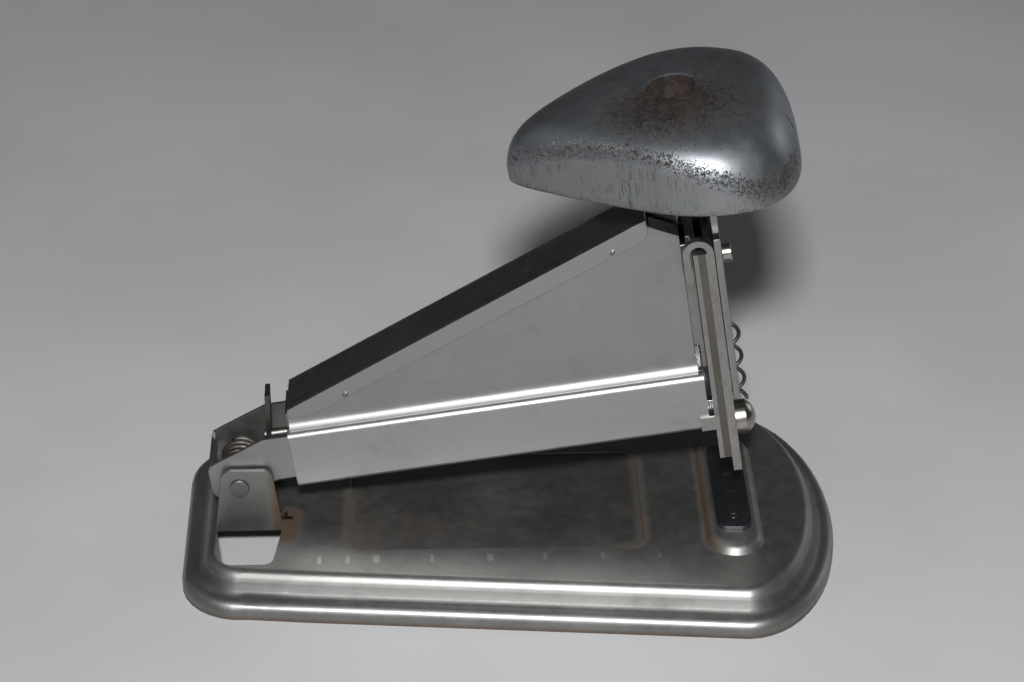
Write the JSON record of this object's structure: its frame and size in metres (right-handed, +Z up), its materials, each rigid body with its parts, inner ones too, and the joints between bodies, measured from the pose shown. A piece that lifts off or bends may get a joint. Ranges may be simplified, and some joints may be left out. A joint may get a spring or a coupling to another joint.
{
  "type": "desk stapler",
  "caption": "Pressed-steel desk stapler: tapered base with anvil, wedge-shaped magazine arm on a rear hinge, and a sprung plunger under a broad palm head.",
  "frame": {"origin": "middle of the base's footprint, on the surface it rests on", "axes": "+X from the hinge end towards the nose, +Y across, +Z up"},
  "size_m": [0.15, 0.0856, 0.1171],
  "materials": {
    "base_steel": "worn satin nickel with a little rust",
    "arm_steel": "satin nickel, lightly stained",
    "nose_steel": "bright nickel, scuffed",
    "head_steel": "polished nickel worn through to rust",
    "bare_steel": "bare steel",
    "dark_steel": "darkened, rusty steel",
    "raw_steel": "unplated steel, brown",
    "spring_steel": "rusty spring wire",
    "wire_steel": "galvanised staple wire"
  },
  "bodies": {
    "base": {"base_plate": "base_steel", "anvil_plate": "dark_steel", "anvil_rivets": "bare_steel", "hinge_pin": "bare_steel", "arm_stop": "dark_steel", "stop_rivets": "bare_steel"},
    "arm": {"magazine_channel": "arm_steel", "staple_rail": "bare_steel", "staple_strip": "wire_steel", "housing_near": "arm_steel", "housing_far": "arm_steel", "top_cover": "arm_steel", "rear_plate": "bare_steel", "nose_bracket": "bare_steel", "rear_guide": "nose_steel", "guide_rails": "raw_steel", "front_plate": "nose_steel", "nose_rivets": "bare_steel", "spring_stud": "nose_steel", "hinge_spring": "spring_steel", "return_spring": "spring_steel", "follower_spring": "spring_steel"},
    "plunger": {"plunger_plate": "nose_steel", "driver_blade": "raw_steel", "driver_rivet": "nose_steel", "palm_head": "head_steel", "head_screw": "dark_steel", "head_washer": "dark_steel"},
    "follower": {"follower_rod": "bare_steel", "pull_tab": "dark_steel", "follower_block": "bare_steel"}
  },
  "joints": [
    {"name": "arm_hinge", "type": "hinge", "parent": "base", "child": "arm", "pos_m": [-0.0616, 0, 0.02], "axis": [0, 1, 0], "range_deg": [0, 5], "stiffness_Nm_per_rad": 0.6, "springref_deg": -34.38},
    {"name": "plunger_slide", "type": "slide", "parent": "arm", "child": "plunger", "axis": [0.1478, 0, -0.989], "range_m": [0, 0.014], "stiffness_N_per_m": 600, "springref_m": -0.008, "deforming": ["return_spring"]},
    {"name": "follower_slide", "type": "slide", "parent": "arm", "child": "follower", "axis": [-0.989, 0, -0.1478], "range_m": [0, 0.026], "stiffness_N_per_m": 80, "springref_m": -0.02, "deforming": ["follower_spring"]}
  ]
}
